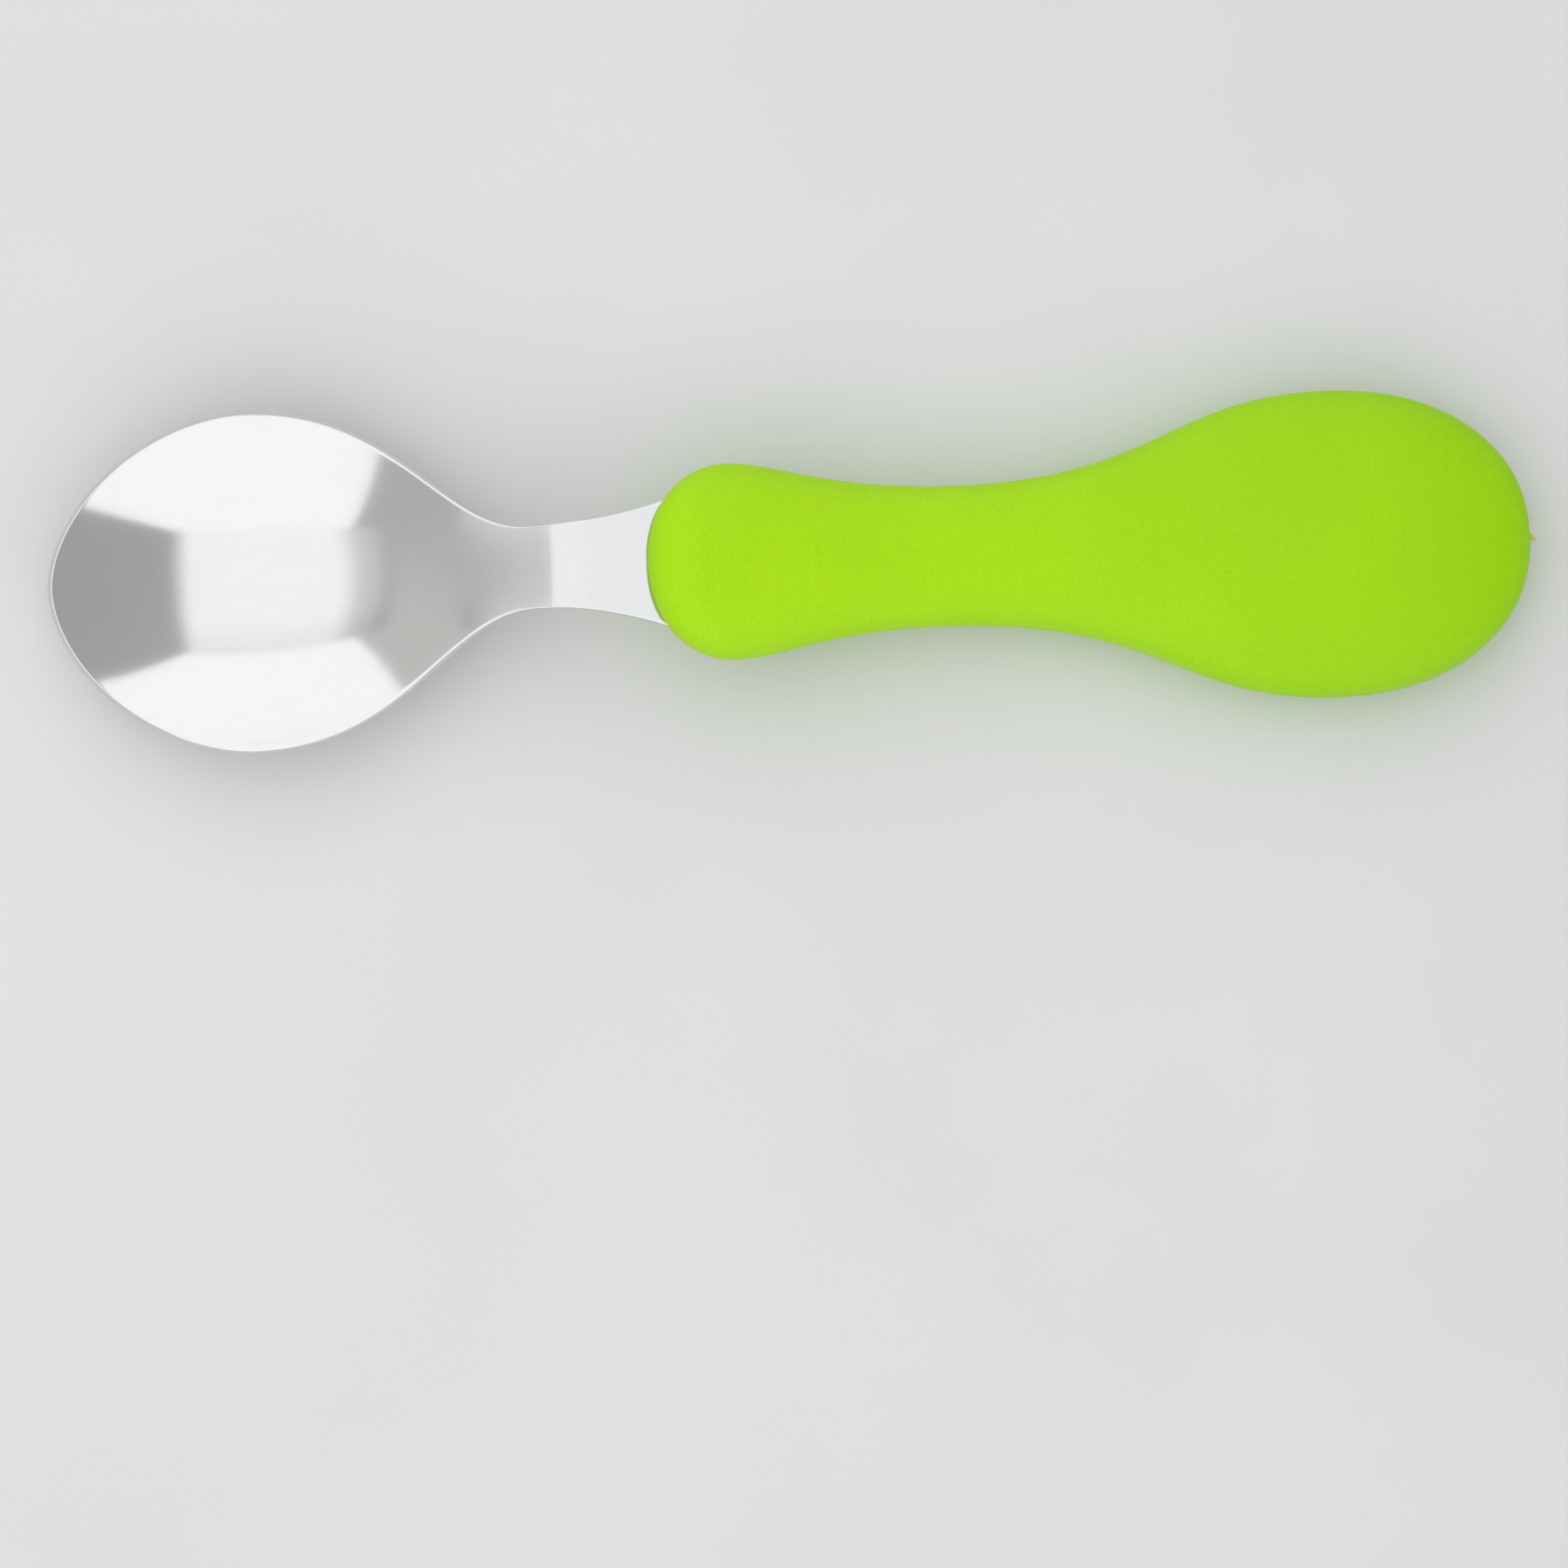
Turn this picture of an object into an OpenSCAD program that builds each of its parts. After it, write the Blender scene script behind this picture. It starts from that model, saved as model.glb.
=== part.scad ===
// Baby spoon: a pressed steel blade whose tang is moulded into a two-shot handle.
// Lengths are in millimetres. The spoon lies on the plane z = 0, with +X from the bowl's tip to the butt.

/* [Bowl] */
// Width of the bowl across its rim
bowl_w = 32.4; // [28:0.2:37]
// Length from the bowl's tip to its widest place
bowl_tip_len = 19; // [15:0.5:23]
// Length from the bowl's widest place to the narrowest neck
bowl_back_len = 27.2; // [23:0.2:33]
// Depth of the bowl, from its rim down to its floor
bowl_depth = 7; // [5.5:0.1:9.5]
// How much lower the rim lies at the tip than at the sides
tip_drop = 0.2; // [0:0.1:1.5]

/* [Neck and tang] */
// Thickness of the steel sheet
sheet_t = 0.8; // [0.6:0.1:1.2]
// Rounding of the sheet's two edges
edge_break = 0.15; // [0.05:0.05:0.25]
// Width of the neck at its narrowest
neck_w = 7.8; // [6.5:0.1:9.5]
// Height at which the ramp behind the bowl meets the handle's arch
neck_rise = 11.6; // [9.5:0.1:13.5]
// Distance of that meeting place behind the narrowest neck
crest_at = 3; // [1.5:0.1:4.5]
// Height over which the meeting place is rounded to a crest
crest_round = 1; // [0.6:0.1:1.8]
// How far the ramp behind the bowl bulges over a straight line
ramp_crown = 0.25; // [0:0.05:0.5]
// Length of bare steel from the narrowest neck to the handle
neck_len = 10.5; // [8.5:0.1:12.5]
// Width of the steel where its flare ends inside the handle
shoulder_w = 12.8; // [11:0.2:14]
// Distance of that shoulder behind the handle's front
shoulder_at = 3; // [2:0.1:4]
// Length over which the shoulder narrows to the tang
shoulder_len = 3; // [2:0.1:5]
// Width of the tang
tang_w = 6.4; // [5:0.1:7.5]
// Length of the tang behind the shoulder
tang_len = 46; // [38:1:54]
// Diameter of the anchor holes through the tang
anchor_d = 3; // [2:0.1:3.8]
// Distance between the two anchor holes
anchor_pitch = 24; // [16:1:28]

/* [Handle] */
// Length of the handle
handle_len = 83.3; // [78:0.1:90]
// Width of the front bulb
bulb_w = 18.4; // [16:0.2:21]
// Thickness of the front bulb
bulb_t = 11; // [9:0.2:13]
// Distance of the bulb's widest place from the handle's front
bulb_at = 7.9; // [6.5:0.1:10]
// Width of the waist
waist_w = 13.2; // [12:0.2:15]
// Thickness of the waist
waist_t = 9; // [8:0.2:10.5]
// Distance of the waist from the handle's front
waist_at = 28.1; // [25:0.1:33]
// Width of the butt
butt_w = 29; // [25:0.2:33]
// Thickness of the butt
butt_t = 12; // [10:0.2:14]
// Distance of the butt's widest place from the handle's front
butt_at = 64.5; // [58:0.1:70]
// Length over which the front end rounds off, seen from the side
front_round = 5.5; // [4:0.1:8]
// Depth of the flat that the underside of the butt rests on
rest_cut = 0.5; // [0.3:0.05:0.8]
// Wall of the soft grip over the hard core
grip_wall = 1.8; // [1.4:0.1:2.2]
// Width of the moulding gate's stub at the butt
gate_d = 0.7; // [0.5:0.05:1.2]
// Length that the gate's stub stands out of the butt
gate_len = 0.5; // [0.3:0.05:1]

/* [Hidden] */

// Places along the spoon, from the bowl's tip at one end to the butt at the other
spoon_len = bowl_tip_len + bowl_back_len + neck_len + handle_len + gate_len;
tip_x = -spoon_len / 2;
bowl_x = tip_x + bowl_tip_len;
neck_x = bowl_x + bowl_back_len;
front_x = neck_x + neck_len;
shoulder_x = front_x + shoulder_at;
tang_x = shoulder_x + shoulder_len;
tang_end_x = shoulder_x + tang_len;
bulb_x = front_x + bulb_at;
waist_x = front_x + waist_at;
butt_x = front_x + butt_at;
end_x = front_x + handle_len;

// Middle surface of the sheet, half a thickness inside the outline
half_t = sheet_t / 2;
bowl_half = bowl_w / 2 - half_t;
tip_reach = bowl_tip_len - half_t;
neck_half = neck_w / 2 - half_t;
shoulder_half = shoulder_w / 2 - half_t;
tang_half = tang_w / 2 - half_t;
tang_round_x = tang_end_x - tang_w / 2;
butt_z = butt_t / 2 - rest_cut;

// Fullness of the outlines: exponents of the rounded ends and of the handle's cross-section
tip_power = 1.82;
front_power = 2.1;
butt_power = 2.16;
section_power = 2.6;

// Shares of a flank's length over which its curve leaves one width and comes in to the next
bowl_leave_share = 0.54;
neck_reach_share = 0.32;
bulb_leave_share = 0.21;
waist_reach_share = 0.56;
waist_leave_share = 0.56;
butt_reach_share = 0.41;
// Shares of the bowl's back between which its cross curve flattens into the neck
flat_shares = [0.6, 1.2];
// Share of the way from the bowl's widest place to the crest at which the floor runs out into the ramp
ramp_share = 0.5;

// Mesh counts
tip_steps = 13;
back_steps = 18;
flare_steps = 15;
shoulder_steps = 4;
tang_steps = 4;
tang_round_steps = 4;
sheet_cols = 9;
grip_ring_steps = 40;
core_ring_steps = 28;
cap_steps = 10;
bulb_steps = 9;
waist_steps = 13;

// Step for measuring the sheet's slope, and overrun of every cut
slope_step = sheet_t / 100;
cut_over = sheet_t;

function unit(v) = v / norm(v);
function ease(t) = t * t * (3 - 2 * t);
function settle(t) = t * t * t * (10 - 15 * t + 6 * t * t);
function bezier(a, b, c, d, t) =
    let (r = 1 - t) a * r * r * r + 3 * b * r * r * t + 3 * c * r * t * t + d * t * t * t;

// Height of the centre line: the bowl's floor runs into a ramp, and its rounded crest into the handle's arch
crest_x = neck_x + crest_at;
rise_len = crest_x - bowl_x;
ramp_at = ramp_share * rise_len;
tip_bend = 2 * (bowl_depth - tip_drop) / pow(tip_reach, 2);
back_bend = 2 * (neck_rise - half_t + 4 * ramp_crown) / (ramp_at * (2 * rise_len - ramp_at));
crown_bend = 8 * ramp_crown / pow(rise_len - ramp_at, 2);
arch_bend = 2 * (neck_rise - butt_z) / pow(butt_x - crest_x, 2);
function floor_z(u) = half_t + (u < 0 ? tip_bend : back_bend) / 2 * pow(u, 2);
function rise_z(u) = floor_z(u) - (back_bend + crown_bend) / 2 * pow(max(u - ramp_at, 0), 2);
function arch_z(x) = butt_z + arch_bend / 2 * pow(min(x - butt_x, 0), 2);
function soft_min(a, b, width) = min(a, b) - pow(max(width - abs(a - b), 0), 3) / (6 * width * width);
function spine_z(x) = soft_min(rise_z(x - bowl_x), arch_z(x), crest_round);

// Middle surface of the sheet: the centre line with a hollow across it, which dies away at the neck
function hollow(x) =
    let (t = ((x - bowl_x) / bowl_back_len - flat_shares[0]) / (flat_shares[1] - flat_shares[0]))
    bowl_depth / pow(bowl_half, 2) * (1 - settle(min(max(t, 0), 1)));
function sheet_z(x, y) = spine_z(x) + hollow(x) * y * y;
function slope_x(x, y) = (sheet_z(x + slope_step, y) - sheet_z(x - slope_step, y)) / (2 * slope_step);
function slope_y(x, y) = 2 * hollow(x) * y;
function sheet_normal(x, y) = unit([-slope_x(x, y), -slope_y(x, y), 1]);

// Half outline of the middle surface, tip to tang end, as [x, half width]
half_outline = concat(
    [for (i = [0:tip_steps - 1]) let (a = 90 * i / tip_steps)
        [bowl_x - tip_reach * pow(cos(a), 2 / tip_power), bowl_half * pow(sin(a), 2 / tip_power)]],
    [for (i = [0:back_steps - 1]) let (t = i / back_steps)
        [bezier(bowl_x, bowl_x + bowl_leave_share * bowl_back_len,
                neck_x - neck_reach_share * bowl_back_len, neck_x, t),
         bowl_half + (neck_half - bowl_half) * ease(t)]],
    [for (i = [0:flare_steps - 1]) let (t = i / flare_steps)
        [neck_x + (shoulder_x - neck_x) * t, neck_half + (shoulder_half - neck_half) * t * t]],
    [for (i = [0:shoulder_steps - 1]) let (t = i / shoulder_steps)
        [shoulder_x + shoulder_len * t, shoulder_half + (tang_half - shoulder_half) * ease(t)]],
    [for (i = [0:tang_steps - 1]) let (t = i / tang_steps)
        [tang_x + (tang_round_x - tang_x) * t, tang_half]],
    [for (i = [0:tang_round_steps]) let (a = 90 * i / tang_round_steps)
        [tang_round_x + tang_half * sin(a), tang_half * cos(a)]]);
half_count = len(half_outline);
outline = concat(half_outline,
    [for (i = [half_count - 2:-1:1]) [half_outline[i].x, -half_outline[i].y]]);
outline_count = len(outline);

// Rows of the sheet meet the centre line in order, and fan out round its two ends
row_count = back_steps + flare_steps + shoulder_steps + tang_steps + 1;
function half_index(k) = k < half_count ? k : outline_count - k;
function row_of(k) = min(max(half_index(k) - tip_steps, 0), row_count - 1);
function row_x(r) = half_outline[tip_steps + r].x;

// The edge is square to the sheet with its two corners rounded, and set so that it just fills the outline
edge_turns = [[1, 0], [1, 45], [1, 90], [-1, 90], [-1, 135], [-1, 180]];
edge_flat = half_t - edge_break;
function sheet_point(x, y, side) = [x, y, sheet_z(x, y)] + side * half_t * sheet_normal(x, y);
function edge_point(k, turn) =
    let (p = outline[k],
         ahead = outline[(k + 1) % outline_count] - outline[(k + outline_count - 1) % outline_count],
         along = [ahead.x, ahead.y, slope_x(p.x, p.y) * ahead.x + slope_y(p.x, p.y) * ahead.y],
         up = sheet_normal(p.x, p.y),
         out = unit(cross(up, along)),
         reach = edge_flat * sqrt((1 - abs(out.z)) / (1 + abs(out.z))))
    [p.x, p.y, sheet_z(p.x, p.y)] + up * (turn[0] * edge_flat + edge_break * cos(turn[1]))
        + out * (reach + edge_break * sin(turn[1]));

// One strip of the sheet's skin: out along the top, round the edge and back along the bottom
strip_count = 2 * sheet_cols + len(edge_turns);
function strip(k) = let (p = outline[k], x0 = row_x(row_of(k))) concat(
    [for (m = [1:sheet_cols]) sheet_point(x0 + (p.x - x0) * m / sheet_cols, p.y * m / sheet_cols, 1)],
    [for (turn = edge_turns) edge_point(k, turn)],
    [for (m = [sheet_cols:-1:1])
        sheet_point(x0 + (p.x - x0) * m / sheet_cols, p.y * m / sheet_cols, -1)]);

// Closed skin between neighbouring strips, which share the centre line's points at both ends
function strip_index(k, j) =
    j == 0 ? row_of(k)
    : j > strip_count ? row_count + row_of(k)
    : 2 * row_count + k * strip_count + j - 1;
function sheet_faces() = [for (k = [0:outline_count - 1], j = [0:strip_count])
    let (n = (k + 1) % outline_count,
         a = strip_index(k, j), b = strip_index(k, j + 1),
         c = strip_index(n, j + 1), d = strip_index(n, j))
    each (a == d ? [[a, b, c]] : b == c ? [[a, b, d]] : [[a, b, c], [a, c, d]])];

module pressed_sheet() {
    polyhedron(concat(
        [for (r = [0:row_count - 1]) sheet_point(row_x(r), 0, 1)],
        [for (r = [0:row_count - 1]) sheet_point(row_x(r), 0, -1)],
        [for (k = [0:outline_count - 1]) each strip(k)]), sheet_faces());
}

// The two anchor holes stand either side of the middle of the tang's straight length
module anchor_holes() {
    for (side = [-1, 1]) {
        x = (tang_x + tang_round_x) / 2 + side * anchor_pitch / 2;
        translate([x, 0, spine_z(x) - half_t - cut_over])
            cylinder(d = anchor_d, h = sheet_t + 2 * cut_over, $fn = 48);
    }
}

module blade_body() {
    difference() {
        pressed_sheet();
        anchor_holes();
    }
}

// Half width and half thickness of the handle along its length, taken in all round by inset
function flank(x0, x1, w0, w1, t0, t1, leave, reach, steps, inset) =
    [for (i = [1:steps]) let (t = i / steps)
        [bezier(x0, x0 + leave * (x1 - x0), x1 - reach * (x1 - x0), x1, t),
         (w0 + (w1 - w0) * ease(t)) / 2 - inset, (t0 + (t1 - t0) * ease(t)) / 2 - inset]];
function nose_taper(reach, length) =
    reach >= length ? 1 : pow(1 - pow(1 - reach / length, front_power), 1 / front_power);
function handle_stations(inset) = concat(
    [for (i = [1:cap_steps]) let (a = 90 * i / cap_steps,
                                  x = bulb_x - (bulb_at - inset) * pow(cos(a), 2 / front_power))
        [x, (bulb_w / 2 - inset) * pow(sin(a), 2 / front_power),
         (bulb_t / 2 - inset) * nose_taper(x - front_x - inset, front_round - inset)]],
    flank(bulb_x, waist_x, bulb_w, waist_w, bulb_t, waist_t,
          bulb_leave_share, waist_reach_share, bulb_steps, inset),
    flank(waist_x, butt_x, waist_w, butt_w, waist_t, butt_t,
          waist_leave_share, butt_reach_share, waist_steps, inset),
    [for (i = [1:cap_steps - 1]) let (a = 90 * i / cap_steps, taper = pow(cos(a), 2 / butt_power))
        [butt_x + (end_x - butt_x - inset) * pow(sin(a), 2 / butt_power),
         (butt_w / 2 - inset) * taper, (butt_t / 2 - inset) * taper]]);

function signed_pow(v, p) = sign(v) * pow(abs(v), p);
function section(s, steps) = [for (i = [0:steps - 1]) let (a = 360 * i / steps)
    [s.x, s.y * signed_pow(cos(a), 2 / section_power),
     spine_z(s.x) + s.z * signed_pow(sin(a), 2 / section_power)]];

// Rounded body through the stations and then the tail's, closed by a point at each end
module handle_body(inset, tail, steps) {
    stations = concat(handle_stations(inset), tail);
    rings = len(stations) - 1;
    last = rings * steps;
    front_point = [front_x + inset, 0, spine_z(front_x + inset)];
    end_point = [stations[rings].x, 0, spine_z(stations[rings].x)];
    polyhedron(
        concat([for (r = [0:rings - 1]) each section(stations[r], steps)], [front_point, end_point]),
        concat(
            [for (i = [0:steps - 1]) [last, i, (i + 1) % steps]],
            [for (r = [0:rings - 2], i = [0:steps - 1])
                let (n = (i + 1) % steps, a = r * steps, b = a + steps)
                each [[a + i, b + n, a + n], [a + i, b + i, b + n]]],
            [for (i = [0:steps - 1])
                [last + 1, last - steps + (i + 1) % steps, last - steps + i]]));
}

// Everything under the table, which cuts the resting flat
module under_table() {
    translate([tip_x, -butt_w, -butt_t])
        cube([spoon_len, 2 * butt_w, butt_t]);
}

// The core's tail is its end point, and the grip's is the stub that the moulding gate leaves
core_tail = [[end_x - grip_wall, 0, 0]];
gate_tail = [
    [end_x, gate_d / 2, gate_d / 2],
    [end_x + gate_len, gate_d / 2, gate_d / 2],
    [end_x + gate_len, 0, 0]];

module core_body() {
    handle_body(grip_wall, core_tail, core_ring_steps);
}

module spoon_blade() {
    color("silver") blade_body();
}

// The hard core is moulded round the tang, and fills its anchor holes
module handle_core() {
    color("ivory") difference() {
        core_body();
        blade_body();
    }
}

// The soft grip is moulded over the core, and closes round the neck at the front
module handle_grip() {
    color("yellowgreen") difference() {
        handle_body(0, gate_tail, grip_ring_steps);
        core_body();
        blade_body();
        under_table();
    }
}

spoon_blade();
handle_core();
handle_grip();
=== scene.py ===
"""Looks of a baby spoon: a polished steel blade moulded into a lime-green soft grip over a hard core.

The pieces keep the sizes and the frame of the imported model: metres, +X from the bowl's tip to the butt, and
the table at z = 0.
"""

import logging
import math
from collections.abc import Callable, Iterator
from contextlib import contextmanager
from dataclasses import dataclass, field
from enum import Enum

import bmesh
import bpy
import numpy as np
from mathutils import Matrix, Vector


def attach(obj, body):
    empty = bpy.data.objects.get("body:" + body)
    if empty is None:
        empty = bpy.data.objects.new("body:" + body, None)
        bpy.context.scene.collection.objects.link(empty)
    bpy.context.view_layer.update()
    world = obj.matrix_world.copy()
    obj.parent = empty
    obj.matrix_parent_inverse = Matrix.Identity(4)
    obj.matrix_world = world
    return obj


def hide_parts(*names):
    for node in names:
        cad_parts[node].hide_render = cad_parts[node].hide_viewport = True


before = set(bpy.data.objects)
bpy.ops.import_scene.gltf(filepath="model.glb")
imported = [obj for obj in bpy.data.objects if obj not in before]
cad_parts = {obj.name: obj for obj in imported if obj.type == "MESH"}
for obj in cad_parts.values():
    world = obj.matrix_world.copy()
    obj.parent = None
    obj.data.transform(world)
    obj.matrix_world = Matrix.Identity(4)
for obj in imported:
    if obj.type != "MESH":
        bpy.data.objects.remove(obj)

LOG = logging.getLogger("baby_spoon")
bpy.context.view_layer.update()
BODY = "root"
WELD_GAP = 1e-6

Colour = tuple[float, float, float]
Place = tuple[float, float, float]


class Slot(Enum):
    """Material slots of the record that the new pieces take."""

    STEEL = "polished_steel"
    GRIP = "lime_grip"


# Curves

def ease(t: np.ndarray) -> np.ndarray:
    """Goes from 0 to 1 with no slope at either end."""
    return t * t * (3 - 2 * t)


def settle(t: np.ndarray) -> np.ndarray:
    """Goes from 0 to 1 with neither slope nor bend at either end."""
    return t**3 * (10 - 15 * t + 6 * t * t)


def bezier(a: float, b: float, c: float, d: float, t: np.ndarray) -> np.ndarray:
    """Follows a cubic curve from a to d, pulled towards b and c."""
    r = 1 - t
    return a * r**3 + 3 * b * r * r * t + 3 * c * r * t * t + d * t**3


def signed_power(v: np.ndarray, p: float) -> np.ndarray:
    """Raises the size of a value to a power and keeps its sign."""
    return np.sign(v) * np.abs(v) ** p


# Modelling

def deselect_all() -> None:
    """Leaves nothing selected, so that the next operator acts on its own piece alone."""
    bpy.ops.object.select_all(action="DESELECT")


def take(piece: bpy.types.Object) -> None:
    """Selects one piece alone and makes it active."""
    deselect_all()
    piece.select_set(True)
    bpy.context.view_layer.objects.active = piece


@contextmanager
def edit_mode(piece: bpy.types.Object) -> Iterator[None]:
    """Opens one piece alone in edit mode, with all of it selected.

    Args:
        piece: The piece to edit.
    """
    take(piece)
    bpy.ops.object.mode_set(mode="EDIT")
    bpy.ops.mesh.select_all(action="SELECT")
    yield
    bpy.ops.object.mode_set(mode="OBJECT")


def select_where(piece: bpy.types.Object, wanted: Callable[[Vector], bool]) -> None:
    """Selects the points of a piece in edit mode by their place.

    Args:
        piece: The piece that is open in edit mode.
        wanted: Says of a place whether its point is selected.
    """
    bpy.ops.mesh.select_all(action="DESELECT")
    mesh = bmesh.from_edit_mesh(piece.data)
    for vert in mesh.verts:
        vert.select_set(wanted(vert.co))
    mesh.select_flush(True)
    bmesh.update_edit_mesh(piece.data)


def mesh_places(piece: bpy.types.Object) -> np.ndarray:
    """Reads the places of a piece's points, one row each."""
    places = np.empty(len(piece.data.vertices) * 3)
    piece.data.vertices.foreach_get("co", places)
    return places.reshape(-1, 3)


def put_places(piece: bpy.types.Object, places: np.ndarray) -> None:
    """Moves each point of a piece to its row's place."""
    piece.data.vertices.foreach_set("co", places.ravel())
    piece.data.update()


def weld() -> None:
    """Joins points that lie on one another, on the piece in edit mode, so that no face is without area."""
    bpy.ops.mesh.remove_doubles(threshold=WELD_GAP)


def cut(piece: bpy.types.Object, cutter: bpy.types.Object) -> None:
    """Takes one solid out of another and throws the cutter away.

    Args:
        piece: The solid that is cut.
        cutter: The solid that is taken out of it.
    """
    take(piece)
    hole = piece.modifiers.new("hole", "BOOLEAN")
    hole.operation = "DIFFERENCE"
    hole.solver = "EXACT"
    hole.object = cutter
    bpy.ops.object.modifier_apply(modifier=hole.name)
    bpy.data.objects.remove(cutter)
    with edit_mode(piece):
        weld()


def smooth(piece: bpy.types.Object, sharpest: float) -> None:
    """Shades a piece smooth, apart from edges that turn more than an angle.

    Args:
        piece: The piece to shade.
        sharpest: The angle in degrees past which an edge stays sharp.
    """
    take(piece)
    bpy.ops.object.shade_smooth_by_angle(angle=math.radians(sharpest))


# Centre line

@dataclass(frozen=True)
class SpoonLine:
    """Sizes along the whole spoon, in metres, and the centre line that its pieces share."""

    bowl_tip_len: float = 0.019
    bowl_back_len: float = 0.0272
    neck_len: float = 0.0105
    handle_len: float = 0.0833
    gate_len: float = 0.0005
    bowl_depth: float = 0.007
    tip_drop: float = 0.0002
    sheet_t: float = 0.0008
    neck_rise: float = 0.0116
    crest_at: float = 0.003
    crest_round: float = 0.001
    ramp_crown: float = 0.00025
    ramp_share: float = 0.5
    butt_at: float = 0.0645
    butt_t: float = 0.012
    rest_cut: float = 0.0005

    @property
    def tip_x(self) -> float:
        """Place of the bowl's tip."""
        lengths = (self.bowl_tip_len, self.bowl_back_len, self.neck_len, self.handle_len, self.gate_len)
        return -sum(lengths) / 2

    @property
    def bowl_x(self) -> float:
        """Place of the bowl's greatest width."""
        return self.tip_x + self.bowl_tip_len

    @property
    def neck_x(self) -> float:
        """Place of the narrowest neck."""
        return self.bowl_x + self.bowl_back_len

    @property
    def front_x(self) -> float:
        """Place of the handle's front."""
        return self.neck_x + self.neck_len

    @property
    def butt_x(self) -> float:
        """Place of the butt's greatest width."""
        return self.front_x + self.butt_at

    @property
    def end_x(self) -> float:
        """Place of the handle's end."""
        return self.front_x + self.handle_len

    @property
    def half_t(self) -> float:
        """Half the sheet's thickness."""
        return self.sheet_t / 2

    @property
    def tip_reach(self) -> float:
        """Length of the sheet's middle surface from the bowl's greatest width to its tip."""
        return self.bowl_tip_len - self.half_t

    @property
    def butt_z(self) -> float:
        """Height of the butt's middle above the table."""
        return self.butt_t / 2 - self.rest_cut

    def height(self, x: np.ndarray) -> np.ndarray:
        """Gives the centre line's height: the bowl's floor, the ramp behind it, the crest and the arch.

        Args:
            x: Places along the spoon.

        Returns:
            The heights above the table.
        """
        crest_x = self.neck_x + self.crest_at
        length = crest_x - self.bowl_x
        foot = self.ramp_share * length
        tip_bend = 2 * (self.bowl_depth - self.tip_drop) / self.tip_reach**2
        back_bend = 2 * (self.neck_rise - self.half_t + 4 * self.ramp_crown) / (foot * (2 * length - foot))
        crown_bend = 8 * self.ramp_crown / (length - foot) ** 2
        arch_bend = 2 * (self.neck_rise - self.butt_z) / (self.butt_x - crest_x) ** 2
        u = x - self.bowl_x
        past = np.maximum(u - foot, 0)
        floor = self.half_t + np.where(u < 0, tip_bend, back_bend) / 2 * u**2
        run = floor - (back_bend + crown_bend) / 2 * past**2
        arch = self.butt_z + arch_bend / 2 * np.minimum(x - self.butt_x, 0) ** 2
        blend = np.maximum(self.crest_round - np.abs(run - arch), 0)
        return np.minimum(run, arch) - blend**3 / (6 * self.crest_round**2)


# Shader nodes

class MixSocket(Enum):
    """Numbers of the Mix node's sockets for colours, whose names the node uses more than once."""

    SHARE = 0
    FIRST = 6
    SECOND = 7
    RESULT = 2


class NodeSheet:
    """A shader node tree that is filled one node at a time."""

    def __init__(self, tree: bpy.types.NodeTree) -> None:
        """Takes the tree to fill."""
        self.tree = tree

    def add(self, kind: str, inputs: dict[str | int, object], **settings: object) -> bpy.types.Node:
        """Adds a node, sets it and fills its inputs.

        Args:
            kind: The node's type, without its ShaderNode prefix.
            inputs: For each input, the socket to link to it or the constant to set on it.
            **settings: Values of the node's own properties.

        Returns:
            The new node.
        """
        node = self.tree.nodes.new("ShaderNode" + kind)
        for name, value in settings.items():
            setattr(node, name, value)
        for key, value in inputs.items():
            if isinstance(value, bpy.types.NodeSocket):
                self.tree.links.new(value, node.inputs[key])
            else:
                node.inputs[key].default_value = value
        return node

    def math(self, operation: str, a: object, b: object) -> bpy.types.NodeSocket:
        """Adds a sum of two values and returns its result."""
        return self.add("Math", {0: a, 1: b}, operation=operation).outputs[0]

    def ramp(self, value: object, start: float, stop: float,
             low: object, high: object) -> bpy.types.NodeSocket:
        """Carries a value from one range to another, smoothly and with both ends held.

        Args:
            value: The socket that varies.
            start: The value that gives low.
            stop: The value that gives high.
            low: The result at start, as a constant or a socket.
            high: The result at stop, as a constant or a socket.

        Returns:
            The result's socket.
        """
        inputs = {"Value": value, "From Min": start, "From Max": stop, "To Min": low, "To Max": high}
        return self.add("MapRange", inputs, interpolation_type="SMOOTHSTEP").outputs["Result"]

    def mix(self, share: object, first: Colour | bpy.types.NodeSocket,
            second: Colour | bpy.types.NodeSocket) -> bpy.types.NodeSocket:
        """Mixes two colours.

        Args:
            share: The socket that gives the second colour's share.
            first: The colour at 0, as a constant or a socket.
            second: The colour at 1, as a constant or a socket.

        Returns:
            The mixed colour's socket.
        """
        inputs = {MixSocket.SHARE.value: share}
        for socket, end in ((MixSocket.FIRST, first), (MixSocket.SECOND, second)):
            inputs[socket.value] = end if isinstance(end, bpy.types.NodeSocket) else (*end, 1.0)
        return self.add("Mix", inputs, data_type="RGBA").outputs[MixSocket.RESULT.value]

    def noise(self, vector: object, scale: object, detail: float) -> bpy.types.NodeSocket:
        """Adds a cloud of noise and returns its value."""
        return self.add("TexNoise", {"Vector": vector, "Scale": scale, "Detail": detail}).outputs[0]


class Effect(Enum):
    """Surface effects that more than one finish uses, each as a shader node group."""

    GRAIN = "moulded_grain"
    MARKS = "handling_marks"

    def group(self) -> bpy.types.NodeTree:
        """Returns the effect's node group, and builds it the first time."""
        made = bpy.data.node_groups.get(self.value)
        if made is None:
            made = bpy.data.node_groups.new(self.value, "ShaderNodeTree")
            {Effect.GRAIN: fill_grain, Effect.MARKS: fill_marks}[self](made)
        return made


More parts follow.
